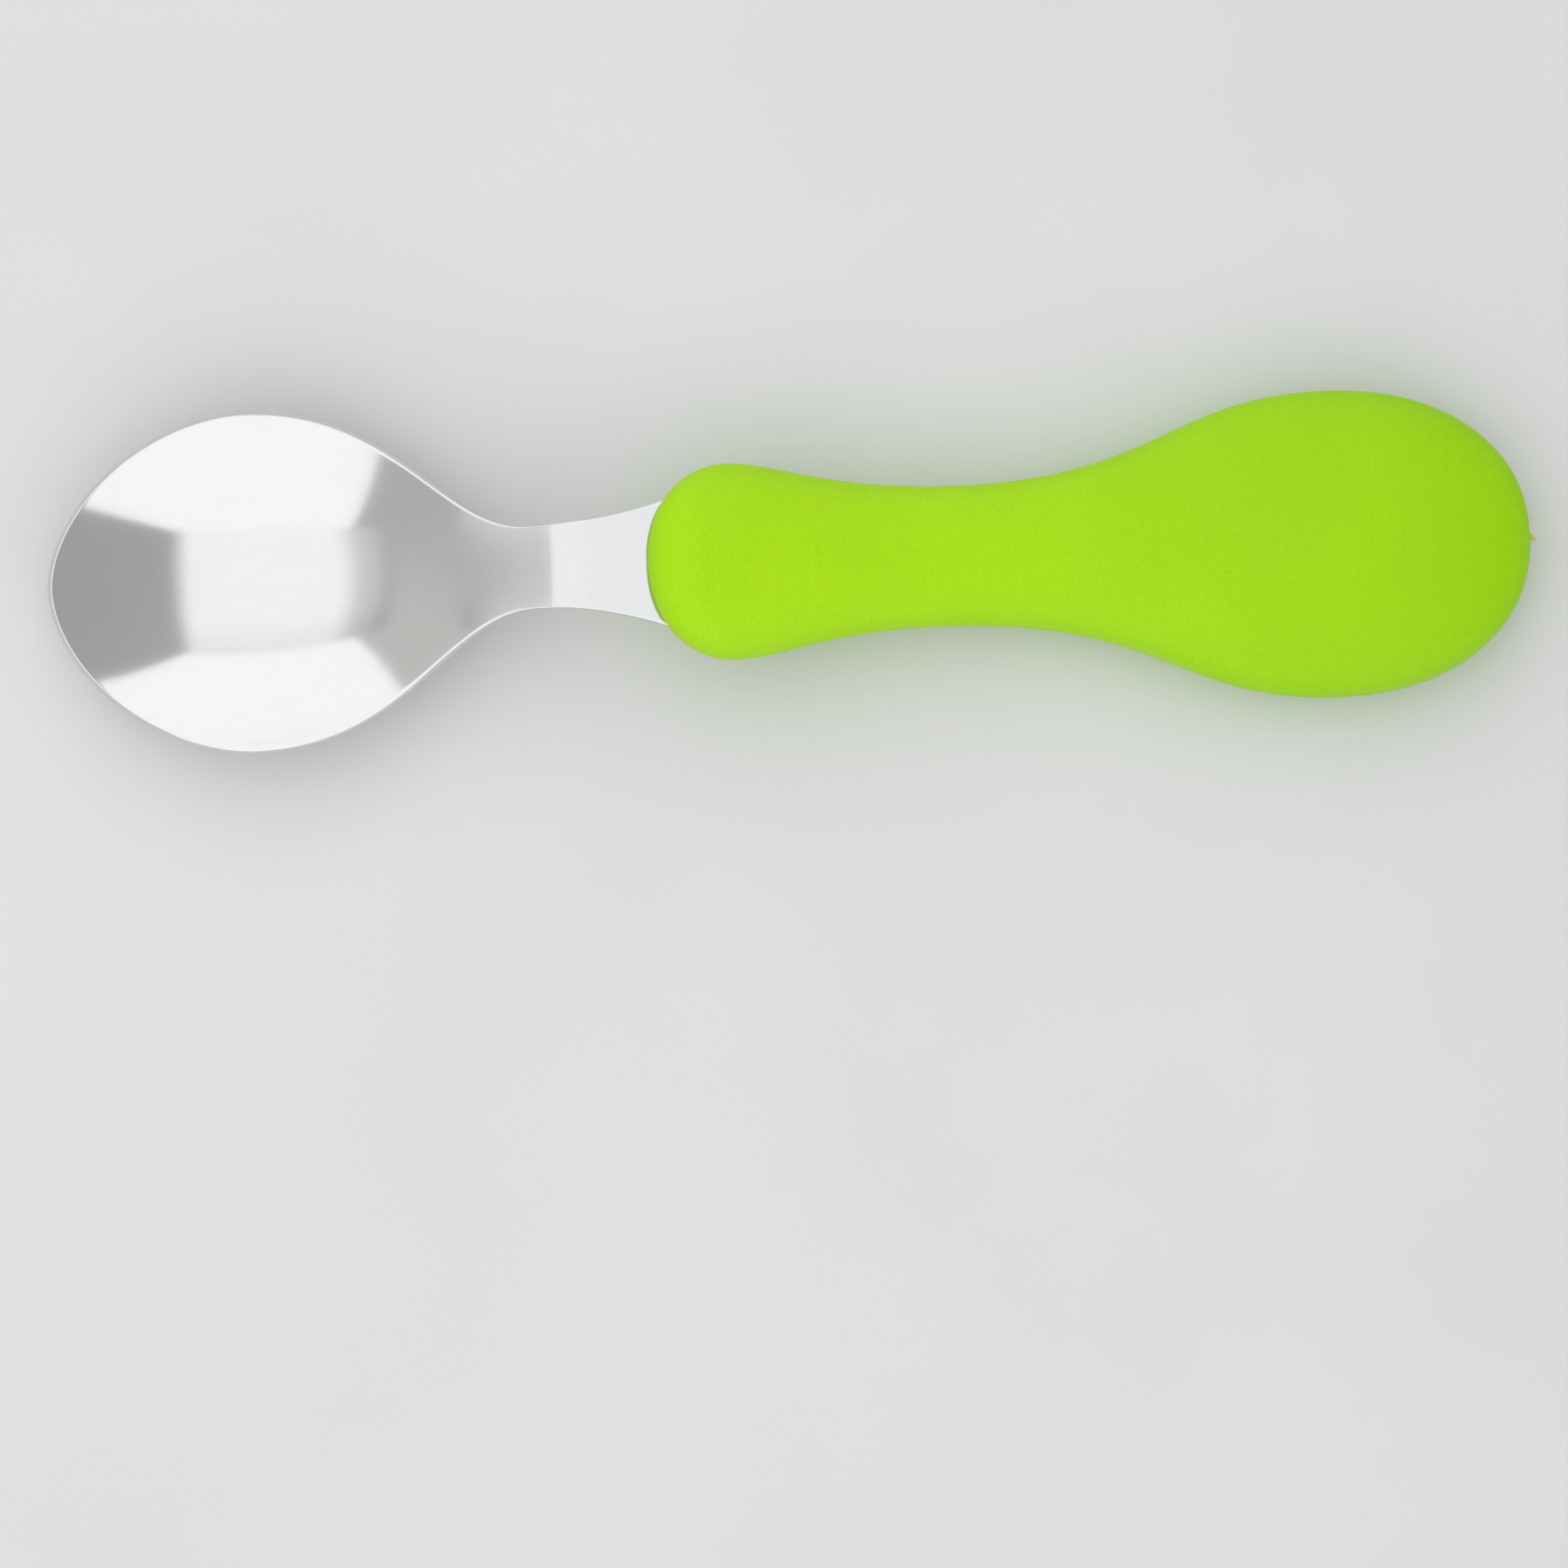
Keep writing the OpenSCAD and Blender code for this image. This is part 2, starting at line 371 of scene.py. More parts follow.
def open_group(tree: bpy.types.NodeTree, inputs: tuple[str, ...],
               outputs: tuple[str, ...]) -> tuple[NodeSheet, bpy.types.Node, bpy.types.Node]:
    """Gives a node group its sockets.

    Args:
        tree: The empty group.
        inputs: Names of its number inputs, which follow a Vector input.
        outputs: Names of its number outputs.

    Returns:
        The sheet to fill, the input node and the output node.
    """
    tree.interface.new_socket("Vector", in_out="INPUT", socket_type="NodeSocketVector")
    for name in inputs:
        tree.interface.new_socket(name, in_out="INPUT", socket_type="NodeSocketFloat")
    for name in outputs:
        tree.interface.new_socket(name, in_out="OUTPUT", socket_type="NodeSocketFloat")
    return NodeSheet(tree), tree.nodes.new("NodeGroupInput"), tree.nodes.new("NodeGroupOutput")


def fill_grain(tree: bpy.types.NodeTree) -> None:
    """Fills the group for the fine eroded texture that a mould leaves on plastic.

    Args:
        tree: The empty group. Per Metre is the number of grains in a metre; Height is the grain's relief, and
            Tone the colour's speckle on a slow drift.
    """
    drift_share, low, high, each_share = 0.02, 0.3, 0.7, 0.5
    sheet, given, result = open_group(tree, ("Per Metre",), ("Height", "Tone"))
    vector, per_metre = given.outputs["Vector"], given.outputs["Per Metre"]
    fine = sheet.noise(vector, per_metre, detail=3.0)
    drift = sheet.noise(vector, sheet.math("MULTIPLY", per_metre, drift_share), detail=2.0)
    slow, quick = (sheet.ramp(cloud, low, high, 0.0, each_share) for cloud in (drift, fine))
    tree.links.new(fine, result.inputs["Height"])
    tree.links.new(sheet.math("ADD", slow, quick), result.inputs["Tone"])


def fill_marks(tree: bpy.types.NodeTree) -> None:
    """Fills the group for what use leaves on a surface.

    Args:
        tree: The empty group. Per Metre is the number of wiping lines in a metre; Wipe is those lines, drawn
            out along the spoon, and Smear the soft patches that fingers leave.
    """
    draw_share, patch_share, wipe_from, smear_from, full_at = 0.06, 0.05, 0.4, 0.45, 0.7
    sheet, given, result = open_group(tree, ("Per Metre",), ("Wipe", "Smear"))
    vector, per_metre = given.outputs["Vector"], given.outputs["Per Metre"]
    drawn = sheet.add("Mapping", {"Vector": vector, "Scale": (draw_share, 1.0, 1.0)}).outputs[0]
    lines = sheet.noise(drawn, per_metre, detail=4.0)
    patches = sheet.noise(vector, sheet.math("MULTIPLY", per_metre, patch_share), detail=3.0)
    tree.links.new(sheet.ramp(lines, wipe_from, full_at, 0.0, 1.0), result.inputs["Wipe"])
    tree.links.new(sheet.ramp(patches, smear_from, full_at, 0.0, 1.0), result.inputs["Smear"])


# Finishes

@dataclass(frozen=True)
class Finish:
    """A finish's name, and what every finish shares: one Principled shader on Object coordinates."""

    name: str

    def material(self) -> bpy.types.Material:
        """Builds the finish's material.

        Returns:
            The material, ready for a piece's slot.
        """
        made = bpy.data.materials.new(self.name)
        made.use_nodes = True
        sheet = NodeSheet(made.node_tree)
        shader = made.node_tree.nodes["Principled BSDF"]
        place = sheet.add("TexCoord", {}).outputs["Object"]
        for key, value in self.fill(sheet, place).items():
            if isinstance(value, bpy.types.NodeSocket):
                made.node_tree.links.new(value, shader.inputs[key])
            else:
                shader.inputs[key].default_value = value
        return made

    def fill(self, sheet: NodeSheet, place: bpy.types.NodeSocket) -> dict[str, object]:
        """Adds the finish's own nodes.

        Args:
            sheet: The material's node tree.
            place: Object coordinates.

        Returns:
            A socket or a constant for each of the shader's inputs that the finish sets.
        """
        raise NotImplementedError


@dataclass(frozen=True)
class PolishedSteel(Finish):
    """Stainless steel, buffed bright, with faint wiping lines.

    The neck is a little darker than the bowl.
    """

    name: str = "polished_steel"
    colour: Colour = (0.703, 0.702, 0.698)
    dull_colour: Colour = (0.691, 0.690, 0.686)
    neck_colour: Colour = (0.662, 0.663, 0.664)
    neck_from_x: float = SpoonLine().neck_x + 0.0008
    neck_full_x: float = SpoonLine().neck_x + 0.0018
    bright_roughness: float = 0.13
    wiped_roughness: float = 0.15
    lines_per_metre: float = 2600.0

    def fill(self, sheet: NodeSheet, place: bpy.types.NodeSocket) -> dict[str, object]:
        """Adds the wiping lines. See Finish.fill."""
        marks = sheet.add("Group", {}, node_tree=Effect.MARKS.group())
        sheet.tree.links.new(place, marks.inputs["Vector"])
        marks.inputs["Per Metre"].default_value = self.lines_per_metre
        wear = sheet.math("MULTIPLY", sheet.math("ADD", marks.outputs["Wipe"], marks.outputs["Smear"]), 0.5)
        along = sheet.add("SeparateXYZ", {0: place}).outputs["X"]
        neck = sheet.ramp(along, self.neck_from_x, self.neck_full_x, 0.0, 1.0)
        return {
            "Base Color": sheet.mix(neck, sheet.mix(wear, self.colour, self.dull_colour), self.neck_colour),
            "Roughness": sheet.ramp(wear, 0.0, 1.0, self.bright_roughness, self.wiped_roughness),
            "Metallic": 1.0,
        }


@dataclass(frozen=True)
class MouldedPlastic(Finish):
    """Plastic from an eroded mould: a fine grain and a slow drift of its colour."""

    name: str
    colour: Colour
    deep_colour: Colour
    smooth_roughness: float
    handled_roughness: float
    specular: float
    grain_per_metre: float = 3500.0
    grain_depth: float = 0.00001
    lines_per_metre: float = 900.0

    def fill(self, sheet: NodeSheet, place: bpy.types.NodeSocket) -> dict[str, object]:
        """Adds the grain and the handling marks. See Finish.fill."""
        grain = sheet.add("Group", {}, node_tree=Effect.GRAIN.group())
        sheet.tree.links.new(place, grain.inputs["Vector"])
        grain.inputs["Per Metre"].default_value = self.grain_per_metre
        marks = sheet.add("Group", {}, node_tree=Effect.MARKS.group())
        sheet.tree.links.new(place, marks.inputs["Vector"])
        marks.inputs["Per Metre"].default_value = self.lines_per_metre
        bump = sheet.add("Bump", {"Height": grain.outputs["Height"], "Strength": 1.0,
                                  "Distance": self.grain_depth})
        return {
            "Base Color": self.tint(sheet, place, grain.outputs["Tone"]),
            "Roughness": sheet.ramp(marks.outputs["Smear"], 0.0, 1.0,
                                    self.handled_roughness, self.smooth_roughness),
            "Specular IOR Level": self.specular,
            "Normal": bump.outputs[0],
        }

    def tint(self, sheet: NodeSheet, place: bpy.types.NodeSocket,
             tone: bpy.types.NodeSocket) -> bpy.types.NodeSocket:
        """Colours the plastic.

        Args:
            sheet: The material's node tree.
            place: Object coordinates.
            tone: The slow drift of the colour.

        Returns:
            The colour's socket.
        """
        return sheet.mix(tone, self.colour, self.deep_colour)


@dataclass(frozen=True)
class LimeGrip(MouldedPlastic):
    """Lime-green soft elastomer.

    Towards the butt the green is painted a little darker, as painted shade. The thin stub of the gate lets
    more light through and looks yellower.
    """

    name: str = "lime_grip"
    colour: Colour = (0.445, 0.830, 0.007)
    deep_colour: Colour = (0.400, 0.755, 0.005)
    smooth_roughness: float = 0.42
    handled_roughness: float = 0.52
    specular: float = 0.13
    grain_per_metre: float = 2600.0
    grain_depth: float = 0.00002
    # painted shade: darker greens towards the butt, faded in between the two places below
    butt_painted_shade_colour: Colour = (0.396, 0.788, 0.006)
    butt_painted_shade_deep_colour: Colour = (0.356, 0.717, 0.004)
    butt_shade_from_x: float = SpoonLine().front_x + 0.03
    butt_shade_full_x: float = SpoonLine().butt_x
    gate_colour: Colour = (0.58, 0.60, 0.12)
    gate_x: float = SpoonLine().end_x
    gate_fade: float = 0.0001

    def tint(self, sheet: NodeSheet, place: bpy.types.NodeSocket,
             tone: bpy.types.NodeSocket) -> bpy.types.NodeSocket:
        """Colours the grip, with painted shade that darkens it from front to butt, and its gate stub. See
        MouldedPlastic.tint.
        """
        along = sheet.add("SeparateXYZ", {0: place}).outputs["X"]
        # painted shade: the green darkens from the front towards the butt
        butt_shade = sheet.ramp(along, self.butt_shade_from_x, self.butt_shade_full_x, 0.0, 1.0)
        thin = sheet.ramp(along, self.gate_x, self.gate_x + self.gate_fade, 0.0, 1.0)
        body = sheet.mix(tone, sheet.mix(butt_shade, self.colour, self.butt_painted_shade_colour),
                         sheet.mix(butt_shade, self.deep_colour, self.butt_painted_shade_deep_colour))
        return sheet.mix(thin, body, self.gate_colour)


@dataclass(frozen=True)
class CorePlastic(MouldedPlastic):
    """Natural hard plastic of the core."""

    name: str = "core_plastic"
    colour: Colour = (0.78, 0.77, 0.71)
    deep_colour: Colour = (0.73, 0.72, 0.65)
    smooth_roughness: float = 0.40
    handled_roughness: float = 0.48
    specular: float = 0.5


@dataclass(frozen=True)
class TableTop(Finish):
    """Pale matt cloth-like paper on the table."""

    name: str = "table_top"
    colour: Colour = (0.798, 0.791, 0.810)
    shade_colour: Colour = (0.772, 0.766, 0.782)
    smooth_roughness: float = 0.85
    shade_roughness: float = 0.95
    specular: float = 0.1
    clouds_per_metre: float = 18.0
    cloud_range: tuple[float, float] = (0.35, 0.65)

    def fill(self, sheet: NodeSheet, place: bpy.types.NodeSocket) -> dict[str, object]:
        """Adds slow clouds of shade. See Finish.fill."""
        noise = sheet.noise(place, self.clouds_per_metre, detail=4.0)
        clouds = sheet.ramp(noise, *self.cloud_range, 0.0, 1.0)
        return {
            "Base Color": sheet.mix(clouds, self.colour, self.shade_colour),
            "Roughness": sheet.ramp(clouds, 0.0, 1.0, self.smooth_roughness, self.shade_roughness),
            "Specular IOR Level": self.specular,
        }


# Pieces

@dataclass
class Blade:
    """The pressed steel: bowl, neck, and the tang inside the handle."""

    line: SpoonLine
    bowl_w: float = 0.0324
    neck_w: float = 0.0078
    shoulder_w: float = 0.0128
    edge_break: float = 0.00015
    edge_clear: float = 0.000001
    shoulder_at: float = 0.003
    shoulder_len: float = 0.003
    tang_w: float = 0.0064
    tang_len: float = 0.046
    anchor_d: float = 0.003
    anchor_pitch: float = 0.024
    tip_power: float = 1.82
    bowl_leave_share: float = 0.54
    neck_reach_share: float = 0.32
    flat_shares: tuple[float, float] = (0.6, 1.2)
    fan_share: float = 0.5
    tip_rows: int = 48
    back_rows: int = 56
    flare_rows: int = 18
    shoulder_rows: int = 10
    tang_rows: int = 24
    tang_round_rows: int = 10
    sheet_columns: int = 28
    corner_columns: int = 4
    anchor_sides: int = 48
    drill_sheets: float = 4.0
    sharpest: float = 40.0
    finish: Finish = field(default_factory=PolishedSteel)

    @property
    def bowl_half(self) -> float:
        """Half width of the bowl's middle surface."""
        return self.bowl_w / 2 - self.line.half_t

    def sheet_height(self, x: np.ndarray, y: np.ndarray) -> np.ndarray:
        """Gives the height of the sheet's middle surface.

        Args:
            x: Places along the spoon.
            y: Places across it.

        Returns:
            The heights above the table.
        """
        t = (x - self.line.bowl_x) / self.line.bowl_back_len
        low, high = self.flat_shares
        flat = settle(np.clip((t - low) / (high - low), 0, 1))
        hollow = self.line.bowl_depth / self.bowl_half**2 * (1 - flat)
        return self.line.height(x) + hollow * y * y

    def sheet_slopes(self, x: np.ndarray, y: np.ndarray) -> tuple[np.ndarray, np.ndarray]:
        """Measures the middle surface's slopes along and across the spoon.

        Args:
            x: Places along the spoon.
            y: Places across it.

        Returns:
            The slope along and the slope across.
        """
        step = self.line.sheet_t / 100
        along = self.sheet_height(x + step, y) - self.sheet_height(x - step, y)
        across = self.sheet_height(x, y + step) - self.sheet_height(x, y - step)
        return along / (2 * step), across / (2 * step)

    def half_outline(self) -> np.ndarray:
        """Traces one side of the middle surface from the bowl's tip to the tang's end.

        Returns:
            For each point, x, y and the x at which its strip leaves the centre line.
        """
        line = self.line
        shoulder_x = line.front_x + self.shoulder_at
        tang_x = shoulder_x + self.shoulder_len
        round_x = shoulder_x + self.tang_len - self.tang_w / 2
        neck, shoulder, tang = (w / 2 - line.half_t for w in (self.neck_w, self.shoulder_w, self.tang_w))

        def run(rows: int) -> np.ndarray:
            """Counts from 0 up to, but not to, 1."""
            return np.linspace(0, 1, rows, endpoint=False)

        a = run(self.tip_rows) * np.pi / 2
        tip_x = line.bowl_x - line.tip_reach * np.cos(a) ** (2 / self.tip_power)
        tip = (tip_x, self.bowl_half * np.sin(a) ** (2 / self.tip_power),
               line.bowl_x + self.fan_share * (tip_x - line.bowl_x))
        t = run(self.back_rows)
        back_x = bezier(line.bowl_x, line.bowl_x + self.bowl_leave_share * line.bowl_back_len,
                        line.neck_x - self.neck_reach_share * line.bowl_back_len, line.neck_x, t)
        back = (back_x, self.bowl_half + (neck - self.bowl_half) * ease(t), back_x)
        t = run(self.flare_rows)
        flare_x = line.neck_x + (shoulder_x - line.neck_x) * t
        flare = (flare_x, neck + (shoulder - neck) * t * t, flare_x)
        t = run(self.shoulder_rows)
        step_x = shoulder_x + self.shoulder_len * t
        step = (step_x, shoulder + (tang - shoulder) * ease(t), step_x)
        t = run(self.tang_rows)
        straight_x = tang_x + (round_x - tang_x) * t
        straight = (straight_x, np.full_like(t, tang), straight_x)
        a = np.linspace(0, np.pi / 2, self.tang_round_rows + 1)
        end_x = round_x + tang * np.sin(a)
        end = (end_x, tang * np.cos(a), round_x + self.fan_share * (end_x - round_x))
        return np.hstack([tip, back, flare, step, straight, end]).T

    def skin(self) -> np.ndarray:
        """Works out the skin strip by strip: out along the top, round the edge and back underneath.

        Returns:
            The points' places, by strip and by point along the strip. The last strip is the first again.
        """
        half = self.half_outline()
        other = half[-2:0:-1] * (1, -1, 1)
        loop = np.vstack([half, other])
        ahead = np.roll(loop, -1, axis=0)[:, :2] - np.roll(loop, 1, axis=0)[:, :2]
        share = np.linspace(0, 1, self.sheet_columns + 1)
        x = loop[:, 2:] + (loop[:, :1] - loop[:, 2:]) * share
        y = loop[:, 1:2] * share
        along, across = self.sheet_slopes(x, y)
        up = np.stack([-along, -across, np.ones_like(x)], axis=-1)
        up /= np.linalg.norm(up, axis=-1, keepdims=True)
        middle = np.stack([x, y, self.sheet_height(x, y)], axis=-1)
        rim_up = up[:, -1]
        rim_way = np.column_stack([ahead, along[:, -1] * ahead[:, 0] + across[:, -1] * ahead[:, 1]])
        out = np.cross(rim_way, rim_up)
        out /= np.linalg.norm(out, axis=-1, keepdims=True)
        out *= np.sign(np.sum(out[:, :2] * (loop[:, :2] - loop[:, [2, 2]] * (1, 0)), axis=1))[:, None]
        flat = self.line.half_t - self.edge_break
        tilt = np.abs(out[:, None, 2:])
        corner = np.linspace(0, np.pi / 2, self.corner_columns + 1)
        side = np.repeat([1.0, -1.0], len(corner))[:, None]
        angle = np.concatenate([corner, corner + np.pi / 2])[:, None]
        edge = (middle[:, -1:] + rim_up[:, None] * (side * flat + self.edge_break * np.cos(angle))
                + out[:, None] * (flat * np.sqrt((1 - tilt) / (1 + tilt)) + self.edge_break * np.sin(angle)
                                  - self.edge_clear))
        top = middle + self.line.half_t * up
        bottom = middle - self.line.half_t * up
        strips = np.concatenate([top, edge, bottom[:, ::-1]], axis=1)
        return np.concatenate([strips, strips[:1]])

    def build(self) -> bpy.types.Object:
        """Wraps a grid round the sheet, closes it and pierces the tang.

        Returns:
            The steel blade.
        """
        skin = self.skin()
        rows, columns = skin.shape[0] - 1, skin.shape[1] - 1
        deselect_all()
        bpy.ops.mesh.primitive_grid_add(x_subdivisions=rows, y_subdivisions=columns, size=1.0)
        piece = bpy.context.object
        piece.name = piece.data.name = "steel_blade"
        grid = mesh_places(piece) + 0.5
        row, column = (np.rint(grid[:, i] * count).astype(int) for i, count in ((0, rows), (1, columns)))
        put_places(piece, skin[row, column])
        with edit_mode(piece):
            weld()
            bpy.ops.mesh.normals_make_consistent(inside=False)
        self.pierce(piece)
        smooth(piece, self.sharpest)
        return piece

    def pierce(self, piece: bpy.types.Object) -> None:
        """Cuts the two anchor holes through the tang.

        Args:
            piece: The closed sheet.
        """
        shoulder_x = self.line.front_x + self.shoulder_at
        middle_x = shoulder_x + (self.shoulder_len + self.tang_len - self.tang_w / 2) / 2
        for side in (-1, 1):
            x = middle_x + side * self.anchor_pitch / 2
            deselect_all()
            bpy.ops.mesh.primitive_cylinder_add(
                vertices=self.anchor_sides, radius=self.anchor_d / 2,
                depth=self.drill_sheets * self.line.sheet_t,
                location=(x, 0.0, float(self.line.height(np.array(x)))))
            cut(piece, bpy.context.object)

    def dress(self, piece: bpy.types.Object) -> None:
        """Gives the blade its finish, and puts it in its node's place."""
        piece.data.materials.clear()
        piece.data.materials.append(self.finish.material())
        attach(piece, BODY)
        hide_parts("spoon_blade")


@dataclass
class Grip:
    """The soft grip: front bulb, waist and broad butt, hollow for the core and slit for the neck."""

    line: SpoonLine
    bulb_w: float = 0.0184
    bulb_t: float = 0.01097
    bulb_at: float = 0.0079
    waist_w: float = 0.0132
    waist_t: float = 0.009
    waist_at: float = 0.0281
    butt_w: float = 0.029
    front_round: float = 0.0055
    grip_wall: float = 0.0018
    gate_d: float = 0.0007
    gate_slant: float = 0.00035
    gate_taper: tuple[float, float] = (0.5, 0.6)
    parting_rise: float = 0.00004
    mouth_gap: float = 0.00003
    front_power: float = 2.1
    butt_power: float = 2.16
    section_power: float = 2.6
    bulb_leave_share: float = 0.21
    waist_reach_share: float = 0.56
    waist_leave_share: float = 0.56
    butt_reach_share: float = 0.41
    side_crowding: float = 0.5
    cap_rings: int = 28
    bulb_rings: int = 34
    waist_rings: int = 42
    ring_points: int = 128
    sharpest: float = 30.0
    finish: Finish = field(default_factory=LimeGrip)

    def flank(self, start: tuple[float, float, float], stop: tuple[float, float, float],
              leave: float, reach: float, rings: int) -> np.ndarray:
        """Carries the handle's section from one place to the next.

        Args:
            start: Place, width and thickness at the start.
            stop: Place, width and thickness at the end.
            leave: Share of the length over which the curve leaves the start.
            reach: Share of the length over which it comes in to the end.
            rings: Number of rings, of which the last is at the end.

        Returns:
            For each ring, its place, half width and half thickness.
        """
        t = np.linspace(0, 1, rings + 1)[1:]
        run = stop[0] - start[0]
        x = bezier(start[0], start[0] + leave * run, stop[0] - reach * run, stop[0], t)
        width, thickness = (a + (b - a) * ease(t) for a, b in zip(start[1:], stop[1:]))
        return np.column_stack([x, width / 2, thickness / 2])

    def stations(self, inset: float) -> np.ndarray:
        """Lists the rings of the handle's form from front to butt.

        Args:
            inset: How far the form is taken in all round.

        Returns:
            For each ring, its place, half width and half thickness.
        """
        line = self.line
        bulb_x, waist_x = line.front_x + self.bulb_at, line.front_x + self.waist_at
        a = np.linspace(0, np.pi / 2, self.cap_rings + 1)[1:]
        front_x = bulb_x - (self.bulb_at - inset) * np.abs(np.cos(a)) ** (2 / self.front_power)
        reach = np.clip((front_x - line.front_x - inset) / (self.front_round - inset), 0, 1)
        nose = (1 - (1 - reach) ** self.front_power) ** (1 / self.front_power)
        front = np.column_stack([front_x, (self.bulb_w / 2 - inset) * np.sin(a) ** (2 / self.front_power),
                                 (self.bulb_t / 2 - inset) * nose])
        bulb = (bulb_x, self.bulb_w, self.bulb_t)
        waist = (waist_x, self.waist_w, self.waist_t)
        butt = (line.butt_x, self.butt_w, line.butt_t)
        flanks = np.vstack([
            self.flank(bulb, waist, self.bulb_leave_share, self.waist_reach_share, self.bulb_rings),
            self.flank(waist, butt, self.waist_leave_share, self.butt_reach_share, self.waist_rings)])
        flanks[:, 1:] -= inset
        gate_angle = np.arccos((self.gate_d / self.butt_w) ** (self.butt_power / 2))
        a = np.append(a[:-1], gate_angle)
        taper = np.cos(a) ** (2 / self.butt_power)
        end = np.column_stack([
            line.butt_x + (line.end_x - line.butt_x - inset) * np.sin(a) ** (2 / self.butt_power),
            (self.butt_w / 2 - inset) * taper, (line.butt_t / 2 - inset) * taper])
        return np.vstack([front, flanks, end])

    def start_ring(self, piece: bpy.types.Object, ring: np.ndarray,
                   pole_x: float, parting: float) -> None:
        """Lays the points of a filled circle on the first ring, with the middle point at the front pole.

        Args:
            piece: The circle.
            ring: Place, half width and half thickness of the first ring.
            pole_x: Place of the pole.
            parting: Rise of the mould's parting line on each side, as a share of the half width.
        """
        circle = mesh_places(piece)
        angle = np.arctan2(circle[:, 1], circle[:, 0])
        angle -= self.side_crowding / 2 * np.sin(2 * angle)
        on_parting = np.abs(np.sin(angle)) < 1e-3
        at_pole = np.linalg.norm(circle, axis=1) < 0.5
        across = signed_power(np.cos(angle), 2 / self.section_power)
        across += parting * np.sign(across) * on_parting
        upward = signed_power(np.sin(angle), 2 / self.section_power)
        along = np.full_like(angle, ring[0])
        middle_z = self.line.height(ring[0])
        places = np.column_stack([along, ring[1] * across, middle_z + ring[2] * upward])
        places[at_pole] = (pole_x, 0.0, self.line.height(np.array(pole_x)))
        put_places(piece, places)

    def draw_on(self, near: np.ndarray, far: np.ndarray) -> None:
        """Extrudes the selected ring to the next place and resizes it there.

        Args:
            near: Place, half width and half thickness of the selected ring.
            far: The same of the next ring.
        """
        z0, z1 = (float(self.line.height(ring[0])) for ring in (near, far))
        step = (float(far[0] - near[0]), 0.0, z1 - z0)
        bpy.ops.mesh.extrude_region_move(TRANSFORM_OT_translate={"value": step})
        bpy.ops.transform.resize(value=(1.0, float(far[1] / near[1]), float(far[2] / near[2])),
                                 center_override=(float(far[0]), 0.0, z1))

    def loft(self, name: str, inset: float, gate_len: float, parting: float) -> bpy.types.Object:
        """Draws the handle's form out of a filled circle, ring by ring.

        Args:
            name: The new piece's name.
            inset: How far the form is taken in all round.
            gate_len: Length of the gate's stub at the butt, or 0 for none.
            parting: Rise of the parting line as a share of the half width.

        Returns:
            The closed form.
        """
        rings = self.stations(inset)
        pole_x = self.line.front_x + inset
        deselect_all()
        bpy.ops.mesh.primitive_circle_add(vertices=self.ring_points, radius=1.0, fill_type="TRIFAN")
        piece = bpy.context.object
        piece.name = piece.data.name = name
        self.start_ring(piece, rings[0], pole_x, parting)
        with edit_mode(piece):
            bpy.ops.mesh.select_all(action="DESELECT")
            bpy.ops.mesh.select_non_manifold()
            for near, far in zip(rings, rings[1:]):
                self.draw_on(near, far)
            if gate_len:
                bpy.ops.mesh.extrude_region_move(
                    TRANSFORM_OT_translate={"value": (gate_len, -self.gate_slant, 0.0)})
                bpy.ops.transform.resize(value=(1.0, *self.gate_taper))
            bpy.ops.mesh.extrude_region_move()
            bpy.ops.mesh.merge(type="CENTER")
            bpy.ops.mesh.select_all(action="SELECT")
            bpy.ops.mesh.normals_make_consistent(inside=False)
        return piece

    def build(self, blade: bpy.types.Object) -> bpy.types.Object:
        """Draws the handle, flattens it where it rests, and cuts the core's space and the neck's slit.

        Args:
            blade: The steel blade that the grip closes round.

        Returns:
            The soft grip.
        """
        parting = self.parting_rise / (self.waist_w / 2)
        piece = self.loft("soft_grip", 0.0, self.line.gate_len, parting)
        with edit_mode(piece):
            select_where(piece, lambda place: place.z < 0.0)
            bpy.ops.transform.resize(value=(1.0, 1.0, 0.0), center_override=(0.0, 0.0, 0.0))
        cut(piece, self.loft("core_space", self.grip_wall, 0.0, 0.0))
        take(blade)
        bpy.ops.object.duplicate()
        slit = bpy.context.object
        with edit_mode(slit):
            bpy.ops.transform.shrink_fatten(value=self.mouth_gap)
        cut(piece, slit)
        smooth(piece, self.sharpest)
        return piece

    def dress(self, piece: bpy.types.Object) -> None:
        """Gives the grip its finish, and puts it in its node's place."""
        piece.data.materials.clear()
        piece.data.materials.append(self.finish.material())
        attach(piece, BODY)
        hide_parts("handle_grip")


@dataclass
class Core:
    """The hard core inside the grip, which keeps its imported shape."""

    finish: Finish = field(default_factory=CorePlastic)

    def dress(self) -> bpy.types.Object:
        """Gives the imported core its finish.

        Returns:
            The core's object.
        """
        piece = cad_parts["handle_core"]
        piece.data.materials.clear()
        piece.data.materials.append(self.finish.material())
        return piece


# Studio

@dataclass(frozen=True)
class Fade:
    """A soft side of a lit panel, along one axis.

    The light falls from its full level at one place to a share of it at another.
    """

    axis: str
    full_at: float
    dim_at: float
    dim_share: float


